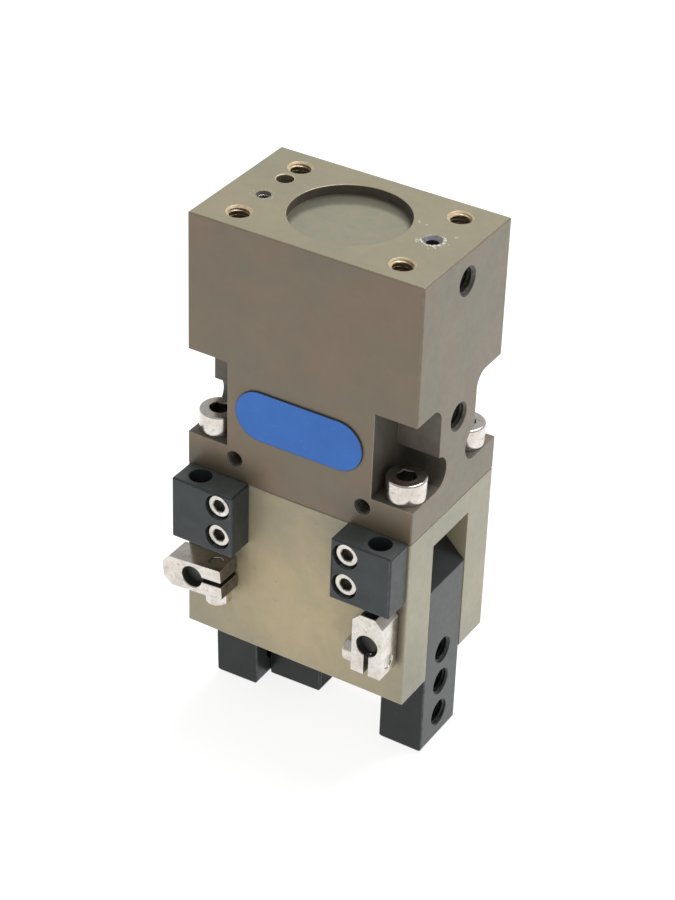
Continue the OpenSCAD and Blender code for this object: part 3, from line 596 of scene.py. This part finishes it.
def cad_bmesh(node):
    """The node's mesh with doubled points merged and flat faces joined, ready for edge rounding."""
    bm = bmesh.new()
    bm.from_mesh(NODES[node].data)
    bmesh.ops.remove_doubles(bm, verts=bm.verts, dist=2e-6)
    bmesh.ops.dissolve_degenerate(bm, dist=1e-7, edges=bm.edges)
    bmesh.ops.dissolve_limit(bm, angle_limit=math.radians(0.3), verts=bm.verts, edges=bm.edges, use_dissolve_boundaries=False)
    bmesh.ops.recalc_face_normals(bm, faces=bm.faces)
    return bm


def tap(bm, at, axis, length, r_core, r_major, pitch, before=0.4, phase=0.0, seg=40, rows=8):
    """Adds a screw shaped cutter: it starts before mm outside at and runs length mm inwards along axis."""
    z = Vector(axis).normalized()
    x = z.orthogonal().normalized()
    y = z.cross(x)
    low = r_core - 0.05
    count = int(round((length + before) / pitch * rows))
    at = Vector(at)

    def point(i, j):
        s = -before + i * pitch / rows
        a = 2 * math.pi * j / seg
        u = (s / pitch - j / seg + phase) % 1.0
        tri = 1 - abs(2 * u - 1)
        h = min(1.0, max(0.0, (tri - 0.22) / 0.56))
        fade = min(1.0, max(0.0, (length - s) / (1.2 * pitch)))
        r = low + (r_major - low) * h * fade
        return (at + z * s + x * (r * math.cos(a)) + y * (r * math.sin(a))) * MM

    grid = [[bm.verts.new(point(i, j)) for j in range(seg)] for i in range(count + 1)]
    for i in range(count):
        for j in range(seg):
            k = (j + 1) % seg
            a, b, c, d = grid[i][j], grid[i][k], grid[i + 1][k], grid[i + 1][j]
            bm.faces.new((a, b, c))
            bm.faces.new((a, c, d))
    for ring, flip, s in ((grid[0], True, -before), (grid[-1], False, -before + count * pitch / rows)):
        centre = bm.verts.new((at + z * s) * MM)
        for j in range(seg):
            k = (j + 1) % seg
            f = (ring[j], ring[k], centre)
            bm.faces.new(f[::-1] if flip else f)


def cut(ob, cutter_bm):
    """Takes the cutters away from ob."""
    me = bpy.data.meshes.new("cutter")
    bmesh.ops.recalc_face_normals(cutter_bm, faces=cutter_bm.faces)
    cutter_bm.to_mesh(me)
    cutter_bm.free()
    tool = bpy.data.objects.new("cutter", me)
    coll.objects.link(tool)
    mod = ob.modifiers.new("cut", "BOOLEAN")
    mod.operation = "DIFFERENCE"
    mod.object = tool
    mod.solver = "MANIFOLD"
    before = len(ob.data.polygons)
    apply_modifiers(ob)
    if len(ob.data.polygons) <= before:
        print("CUT FAILED on", ob.name, before, len(ob.data.polygons))
    bpy.data.objects.remove(tool)
    bpy.data.meshes.remove(me)


def round_edges(ob, width, segments=2, angle=30, edge_mat=None):
    mod = ob.modifiers.new("round", "BEVEL")
    mod.width = width * MM
    mod.segments = segments
    mod.limit_method = "ANGLE"
    mod.angle_limit = math.radians(angle)
    mod.use_clamp_overlap = False
    mod.harden_normals = False
    mod.miter_outer = "MITER_SHARP"
    if edge_mat is not None:
        mod.material = edge_mat
    apply_modifiers(ob)


def shade(ob, angle=32, flat_mm2=0.35):
    """Smooth shading in which flat faces stay flat and only roundings and curved walls blend."""
    me = ob.data
    me.shade_smooth()
    bm = bmesh.new()
    bm.from_mesh(me)
    bm.faces.ensure_lookup_table()
    group = [-1] * len(bm.faces)
    area_of, normal_of = [], []
    for f in bm.faces:
        if group[f.index] >= 0:
            continue
        g, total, stack = len(area_of), 0.0, [f]
        group[f.index] = g
        while stack:
            a = stack.pop()
            total += a.calc_area() * 1e6
            for e in a.edges:
                for o in e.link_faces:
                    if group[o.index] < 0 and f.normal.dot(o.normal) > 0.99998:
                        group[o.index] = g
                        stack.append(o)
        area_of.append(total)
        normal_of.append(f.normal.copy())
    # facets of a curved wall have neighbours of like size at a small angle
    curved = set()
    for e in bm.edges:
        if len(e.link_faces) == 2:
            i, j = (group[f.index] for f in e.link_faces)
            if i != j and 0.3 < area_of[i] / max(area_of[j], 1e-9) < 3.3 and normal_of[i].dot(normal_of[j]) > 0.952:
                curved.update((i, j))
    flat = [area_of[g] >= flat_mm2 and g not in curved for g in range(len(area_of))]
    lim = math.cos(math.radians(angle))
    normals = []
    for f in bm.faces:
        for loop in f.loops:
            if flat[group[f.index]]:
                normals.append(f.normal.copy())
                continue
            best, total = None, Vector()
            for o in loop.vert.link_faces:
                if f.normal.dot(o.normal) < lim:
                    continue
                g = group[o.index]
                if flat[g] and (best is None or area_of[g] > area_of[best]):
                    best = g
                total += o.normal * o.calc_area()
            normals.append(normal_of[best].copy() if best is not None else (total.normalized() if total.length > 0 else f.normal.copy()))
    bm.free()
    me.normals_split_custom_set([tuple(v) for v in normals])


def stand_for(ob, *nodes):
    """The piece rides on its node's body and replaces it."""
    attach(ob, NODE_BODY[nodes[0]])
    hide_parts(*nodes)
    return ob


def round_some(ob, pick, width, segments=4):
    """Rounds only the edges whose two end points, in mm, satisfy pick."""
    bm = bmesh.new()
    bm.from_mesh(ob.data)
    edges = [e for e in bm.edges if len(e.link_faces) == 2 and e.calc_face_angle(0.0) > math.radians(25)
             and pick(e.verts[0].co / MM) and pick(e.verts[1].co / MM)]
    bmesh.ops.bevel(bm, geom=edges, offset=width * MM, offset_type="OFFSET", segments=segments, profile=0.5, affect="EDGES",
                    clamp_overlap=True, miter_outer="SHARP")
    bm.to_mesh(ob.data)
    bm.free()


def detailed(node, name, mats, width=0.1, segments=2, angle=30, edge_mat=1, taps=None, paint=None, shade_angle=32, first=None):
    """A finer version of a CAD node: rounded edges, cut threads, finishes by face."""
    ob = new_object(name, cad_bmesh(node), mats)
    if first:
        first(ob)
    if width:
        round_edges(ob, width, segments, angle, edge_mat)
    if taps:
        bm = bmesh.new()
        for t in taps:
            tap(bm, **t)
        cut(ob, bm)
    if paint:
        for p in ob.data.polygons:
            c = p.center / MM
            m = paint(c, p.normal, p.material_index)
            if m is not None:
                p.material_index = m
    shade(ob, shade_angle)
    return stand_for(ob, node)


# ------------------------------------------------------------------ cylinder housing
TOP_THREADS = [(sx * 15.2, sy * 9.25) for sx in (-1, 1) for sy in (-1, 1)]
PORT_Z = (-5.2, -30.7)


def housing_taps():
    t = [dict(at=(x, y, 0), axis=(0, 0, -1), length=8.6, r_core=1.65, r_major=2.0, pitch=0.7, phase=0.13 * i)
         for i, (x, y) in enumerate(TOP_THREADS)]
    t += [dict(at=(22, 0, z), axis=(-1, 0, 0), length=5.6, r_core=2.1, r_major=2.5, pitch=0.8, phase=0.3 * i)
          for i, z in enumerate(PORT_Z)]
    t += [dict(at=(sx * 12.55, -14, -44.3), axis=(0, 1, 0), length=4.2, r_core=1.25, r_major=1.50, pitch=0.5, seg=32, rows=6)
          for sx in (-1, 1)]
    return t


def housing_first(ob):
    """Rubbed edges of the flange and the neck, the broken rims of the recess and of the dowel hole."""
    def flange_edge(c):
        return abs(c.z + 42.1) < 0.02 and abs(abs(c.y) - 14) < 0.02 and abs(c.x) > 14.05

    def neck_edge(c):
        return abs(abs(c.x) - 14.1) < 0.02 and abs(abs(c.y) - 14) < 0.02 and -42.2 < c.z < -25.5

    round_some(ob, lambda c: flange_edge(c) or neck_edge(c), 0.14, 2)
    round_some(ob, lambda c: abs(c.z) < 0.02 and abs(math.hypot(c.x, c.y) - 10.25) < 0.05, 0.14, 2)
    round_some(ob, lambda c: abs(c.z) < 0.02 and abs(math.hypot(c.x + 15.2, c.y - 4.5) - 1.5) < 0.03, 0.16, 2)


def housing_paint(c, nrm, old):
    # painted highlight and wear: the rounded flange and neck edges take the lighter rubbed edge finish
    if abs(c.z + 42.1) < 0.2 and abs(abs(c.y) - 14) < 0.2 and abs(c.x) > 14.0 and 0.25 < nrm.z < 0.97:
        return 11
    if abs(abs(c.x) - 14.1) < 0.2 and abs(abs(c.y) - 14) < 0.2 and -42.1 < c.z < -25.7 and abs(nrm.x) > 0.25 and abs(nrm.y) > 0.25:
        return 11
    # painted highlight: the broken rim of the recess takes a lighter edge finish
    if c.z > -0.3 and 9.9 < math.hypot(c.x, c.y) < 10.7 and 0.2 < nrm.z < 0.97:
        return 12
    # painted highlight: the broken rim of the dowel hole takes the light chamfer finish
    if c.z > -0.3 and math.hypot(c.x + 15.2, c.y - 4.5) < 1.8 and 0.2 < nrm.z < 0.97:
        return 7
    for x, y in TOP_THREADS:
        d = math.hypot(c.x - x, c.y - y)
        if c.z < -0.01 and c.z > -10.5 and d < 2.4:
            return 7 if c.z > -0.58 and d > 1.72 else 3
    # painted shade: the threads of the side ports and of the flange holes take a darker thread finish
    for z in PORT_Z:
        if 9.0 < c.x < 21.99 and math.hypot(c.y, c.z - z) < 2.75:
            return 5
    for sx in (-1, 1):
        if c.y > -13.99 and c.y < -8.9 and math.hypot(c.x - sx * 12.55, c.z + 44.3) < 1.62:
            return 5
    if -0.62 < c.z < -0.01 and math.hypot(c.x - 15.2, c.y - 0.2) < 1.75:
        return 9
    # painted shade: the inside of the small air hole takes the same darker thread finish
    if math.hypot(c.x - 15.2, c.y - 0.2) < 1.2 and c.z < -0.5:
        return 5
    if c.z > -1.9 and nrm.z > 0.99:
        return 6 if c.z < -1.7 else 2
    # painted shade: the wall of the recess takes a darker copy of the brown
    if -1.85 < c.z < -0.05 and math.hypot(c.x, c.y) < 10.4 and abs(nrm.z) < 0.9:
        return 10
    # painted shade: the pockets take darker copies of the brown, darkest on walls that look along X and low down
    if 14.0 < abs(c.x) < 21.85 and 2.9 < abs(c.y) < 13.85 and -42.2 < c.z < -25.5 and (old == 0 or (abs(c.x) < 21 and abs(c.y) < 13)):
        if nrm.z > 0.9:
            return 4
        return 8 if abs(nrm.x) > 0.7 or c.z < -35.0 else 4
    return None


detailed("cylinder_housing", "cylinder_housing_detail", ["brown", "brown_edge", "top", "brown_thread", "pocket", "port_thread", "recess_floor", "gold_chamfer",
                                                             "pocket_dark", "grey_chamfer", "recess_wall", "worn_highlit_edge", "rim_edge"],
         width=0.07, segments=2, angle=25, taps=housing_taps(), paint=housing_paint, first=housing_first)

PIVOT = (17.6, -67.6)
THREAD_Z = (-11.4, -18.4, -25.4)


def about(c, cx, cz, deg):
    """A point in the frame of a part that was turned by deg round a pivot axis, counter clockwise seen from the front."""
    a = math.radians(deg)
    x, z = c.x - cx, c.z - cz
    return Vector((x * math.cos(a) + z * math.sin(a), c.y, -x * math.sin(a) + z * math.cos(a)))


def placed(p, cx, cz, deg):
    """The other way round: from the part's own frame to the common one."""
    a = math.radians(deg)
    return Vector((cx + p[0] * math.cos(a) - p[2] * math.sin(a), p[1], cz + p[0] * math.sin(a) + p[2] * math.cos(a)))


def turned_axis(p, deg):
    a = math.radians(deg)
    return (p[0] * math.cos(a) - p[2] * math.sin(a), p[1], p[0] * math.sin(a) + p[2] * math.cos(a))


def jaw_housing_paint(c, nrm, old):
    if c.y > -13.99 and c.y < -7.9 and abs(abs(c.x) - 12.6) < 1.4 and min(abs(c.z + 51), abs(c.z + 57)) < 1.2:
        return 2
    return None


detailed("jaw_housing", "jaw_housing_detail", ["olive", "olive_edge", "brown_thread"], width=0.09, segments=2, angle=25,
         paint=jaw_housing_paint)


def housing_screw_paint(c, nrm, old):
    r = min(math.hypot(c.x - sx * 18.3, c.y - sy * 9.9) for sx in (-1, 1) for sy in (-1, 1))
    # painted shade: the hex socket takes the darker socket finish
    return 1 if r < 2.0 and c.z > -40.5 and c.z < -38.14 else None


detailed("housing_screws", "housing_screws_detail", ["nickel", "nickel_socket_shade"], width=0.12, segments=2, angle=35, edge_mat=0,
         paint=housing_screw_paint)


def bracket_screw_paint(c, nrm, old):
    r = min(math.hypot(c.x - x, c.z - z) for x in (-12.35, 12.85) for z in (-51, -57))
    # painted shade: the hex socket takes the darker socket finish
    return 1 if r < 1.36 and -18.96 < c.y < -17.6 else None


detailed("bracket_screws", "bracket_screws_detail", ["nickel", "nickel_socket_shade"], width=0.09, segments=2, angle=35, edge_mat=0,
         paint=bracket_screw_paint)

for side in ("left", "right"):
    # painted light: the top faces of the bracket take a lighter black
    detailed("sensor_bracket_" + side, "sensor_bracket_%s_detail" % side, ["black_anodised", "black_edge", "black_lit_top"],
             width=0.10, segments=2, angle=35, paint=lambda c, nrm, old: 2 if nrm.z > 0.9 and old == 0 else None)

CAM_TURN = {"left": 94.5, "right": 0.0}
for side, sx in (("left", -1), ("right", 1)):
    def cam_paint(c, nrm, old, sx=sx, side=side):
        q = about(c, sx * PIVOT[0], PIVOT[1], CAM_TURN[side])
        # painted shade: the wall of the bore is painted near black
        if math.hypot(q.x, q.z) < 2.1 and q.y > -19.3:
            return 2
        # painted shade: the faces of the clamping slit take the dark shaft end finish
        if abs(q.x) < 0.47 and q.z < -2.1 and -19.4 < q.y < -14.4:
            return 1
        # painted shade and dark reflection on the face of the left cam that looks along +X
        if side == "left" and nrm.x > 0.8:
            return 3
        # painted highlight: the upper right chamfer of the right cam takes a lighter, duller nickel
        if side == "right" and nrm.x > 0.3 and nrm.z > 0.3:
            return 4
        return None

    def cam_screw_paint(c, nrm, old, sx=sx, side=side):
        q = about(c, sx * PIVOT[0], PIVOT[1], CAM_TURN[side])
        # painted shade: the hex socket takes the darker socket finish
        return 1 if math.hypot(q.y + 16.9, q.z + 3.6) < 1.36 and -5.01 < q.x < -3.85 else None

    detailed("switch_cam_" + side, "switch_cam_%s_detail" % side, ["nickel", "shaft_end", "bore_wall", "nickel_painted_dark_reflection", "nickel_matt_painted_highlight"], width=0.14, segments=3, angle=35,
             edge_mat=0, paint=cam_paint)
    detailed("cam_screw_" + side, "cam_screw_%s_detail" % side, ["nickel", "nickel_socket_shade"], width=0.09, segments=2, angle=35,
             edge_mat=0, paint=cam_screw_paint)

    def shaft_paint(c, nrm, old):
        # the part of the shaft in front of the housing is painted near black
        return 1 if c.y < -12.9 else None

    detailed("pivot_shaft_" + side, "pivot_shaft_%s_detail" % side, ["ground_steel", "shaft_end"], width=0.12, segments=2,
             angle=35, edge_mat=0, paint=shaft_paint)

JAW_TURN = {"left": -1.6, "right": 0.0}
for side, sx in (("left", -1), ("right", 1)):
    turn = JAW_TURN[side]
    taps = []
    for i, z in enumerate(THREAD_Z):
        if side == "left" and i == 1:
            continue
        at = placed((sx * 4.3, 0, z), sx * PIVOT[0], PIVOT[1], -turn if side == "left" else turn)
        taps.append(dict(at=tuple(at), axis=turned_axis((-sx, 0, 0), -turn if side == "left" else turn), length=9.4,
                         r_core=2.1, r_major=2.5, pitch=0.8, phase=0.37 * i + 0.1))

    def jaw_paint(c, nrm, old, sx=sx, turn=turn, side=side):
        q = about(c, sx * PIVOT[0], PIVOT[1], -turn if side == "left" else turn)
        if abs(q.x) < 4.29 and min(math.hypot(q.y, q.z - z) for z in THREAD_Z) < 2.58:
            return 2
        if math.hypot(q.x, q.z) > 4.6 and math.hypot(q.x, q.z) < 8.7 and q.x * sx < 3.0 and abs(q.y) < 5.85 and nrm.y ** 2 < 0.2 and q.z < 7.9 and old == 0 and (q.x + sx * 0 ) * sx + q.z < 8.0:
            return 3
        return None

    detailed("jaw_" + side, "jaw_%s_detail" % side, ["blackened_steel", "blackened_edge", "jaw_thread", "hardened_steel"],
             width=0.10, segments=2, angle=38, taps=taps, paint=jaw_paint)

detailed("gripping_finger", "gripping_finger_detail", ["blackened_steel", "blackened_edge", "blackened_oily"], width=0.10, segments=2, angle=38,
         paint=lambda c, nrm, old: 2 if abs(nrm.x) > 0.8 and old == 0 else None)
detailed("finger_set_screw", "finger_set_screw_detail", ["black_steel", "black_edge"], width=0.08, segments=2, angle=38)
detailed("bottom_cover", "bottom_cover_detail", ["olive", "olive_edge"], width=0.07, segments=2, angle=30)
detailed("bottom_cover_screws", "bottom_cover_screws_detail", ["black_steel", "black_edge"], width=0.05, segments=2, angle=35)


def plate_paint(c, nrm, old):
    return 1 if nrm.y > -0.5 else None


detailed("nameplate", "nameplate_detail", ["blue", "blue_edge"], width=0.14, segments=3, angle=35, edge_mat=1, paint=plate_paint)
detailed("top_plug_screw", "top_plug_screw_detail", ["ground_steel", "nickel_socket_shade"], width=0.08, segments=2, angle=35, edge_mat=0)


def residue_on_top():
    """Sealing compound that oozed out round the small air hole and was left there, in crumbs and smears."""
    bm = bmesh.new()
    rnd = random.Random(11)

    def crumb(x, y, rx, ry, h, turn):
        v = bmesh.ops.create_icosphere(bm, subdivisions=2, radius=1.0)["verts"]
        ca, sa = math.cos(turn), math.sin(turn)
        for p in v:
            k = 1.0 + 0.45 * mnoise.noise(Vector((p.co.x * 1.7 + x * 3.1, p.co.y * 1.7 + y * 2.3, p.co.z * 1.7 + turn)))
            px_, py_, pz_ = p.co.x * rx * k, p.co.y * ry * k, p.co.z * h * k
            p.co = Vector((x + px_ * ca - py_ * sa, y + px_ * sa + py_ * ca, pz_ - 0.15 * h)) * MM

    for i in range(70):
        a = rnd.uniform(0, 2 * math.pi)
        # thicker towards the front and the right than at the back
        gate = 0.5 + 0.5 * math.cos(a + 0.9) + rnd.uniform(-0.2, 0.3)
        if gate < 0.45:
            continue
        d = rnd.uniform(1.78, 2.15) if i % 5 else rnd.uniform(2.2, 2.9)
        size = rnd.uniform(0.12, 0.30) * (1.0 if d < 2.2 else 0.55)
        crumb(15.2 + d * math.cos(a), 0.2 + d * math.sin(a), size * rnd.uniform(1.0, 1.7), size * 0.7, rnd.uniform(0.03, 0.06),
              a + math.pi / 2 + rnd.uniform(-0.4, 0.4))
    for dx, dy, spread, count in ((-2.1, -1.5, 0.42, 14), (2.0, 0.1, 0.22, 9), (-4.8, 3.9, 0.30, 5), (-3.4, 3.6, 0.5, 3), (2.8, 2.7, 0.2, 3), (1.4, -2.0, 0.45, 8)):
        for i in range(count):
            crumb(15.2 + dx + rnd.uniform(-spread, spread), 0.2 + dy + rnd.uniform(-spread, spread), rnd.uniform(0.07, 0.22),
                  rnd.uniform(0.05, 0.12), rnd.uniform(0.03, 0.07), rnd.uniform(0, 3))
    for i in range(16):
        a, d = rnd.uniform(0, 2 * math.pi), rnd.uniform(1.5, 2.3)
        crumb(-15.1 + d * math.cos(a), -2.2 + d * math.sin(a), rnd.uniform(0.06, 0.16), rnd.uniform(0.05, 0.11),
              rnd.uniform(0.03, 0.06), rnd.uniform(0, 3))
    ob = new_object("sealing_residue", bm, ["residue"])
    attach(ob, "housing")


residue_on_top()

# the closing spring, which the piston presses together, gets a detailed piece with a mesh of its own
spring = detailed("closing_spring", "closing_spring_detail", ["spring_steel"], width=0)
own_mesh(spring)

# ------------------------------------------------------------------ floor, light, world
lo, hi = cad_box


def make_floor():
    """Pale floor that glows: its emission, a little stronger towards the back right, is painted light that brightens it
    and lifts its shadow.
    """
    bm = bmesh.new()
    bmesh.ops.create_grid(bm, x_segments=1, y_segments=1, size=2.0)
    me = bpy.data.meshes.new("floor")
    bm.to_mesh(me)
    bm.free()
    ob = bpy.data.objects.new("floor", me)
    ob.location = (0, 0, lo.z - 0.00002)
    coll.objects.link(ob)
    n = Nodes("floor_pale")
    tone = n.noise(0.02, 2, 0.5)
    c = n.mix(tone, (0.285, 0.285, 0.285), (0.300, 0.300, 0.300))
    way = n.vmath("DOT_PRODUCT", n.mm, (0.6, 0.8, 0.0))
    n.finish(c, 0.7, 0.0, spec=0.2)
    # painted light: the floor emits light, more towards the back right
    n.bsdf.inputs["Emission Color"].default_value = (1.0, 1.0, 1.0, 1.0)
    n.link(n.remap(way, -120.0, 160.0, FLOOR_GLOW[0], FLOOR_GLOW[1]), n.bsdf.inputs["Emission Strength"])
    me.materials.append(n.mat)


FLOOR_GLOW = (0.83, 0.87)


def area(name, at, look, size, power, color=(1, 1, 1), size_y=None):
    d = bpy.data.lights.new(name, "AREA")
    d.energy = power
    d.color = color
    d.shape = "RECTANGLE"
    d.size = size
    d.size_y = size_y or size
    ob = bpy.data.objects.new(name, d)
    ob.location = at
    v = Vector(look) - Vector(at)
    ob.rotation_mode = "QUATERNION"
    ob.rotation_quaternion = v.to_track_quat("-Z", "Y")
    coll.objects.link(ob)
    return ob


make_floor()
mid = (0, 0, -0.045)
area("key_top", (0.10, 0.30, 0.78), mid, 0.55, 9.0)

world = bpy.data.worlds.new("studio")
world.use_nodes = True
bg = world.node_tree.nodes["Background"]
bg.inputs[0].default_value = (1.0, 1.0, 1.0, 1.0)
bg.inputs[1].default_value = 0.5
scene.world = world
scene.view_settings.view_transform = "Standard"
scene.view_settings.look = "None"
scene.view_settings.exposure = 0.0
scene.view_settings.gamma = 1.0
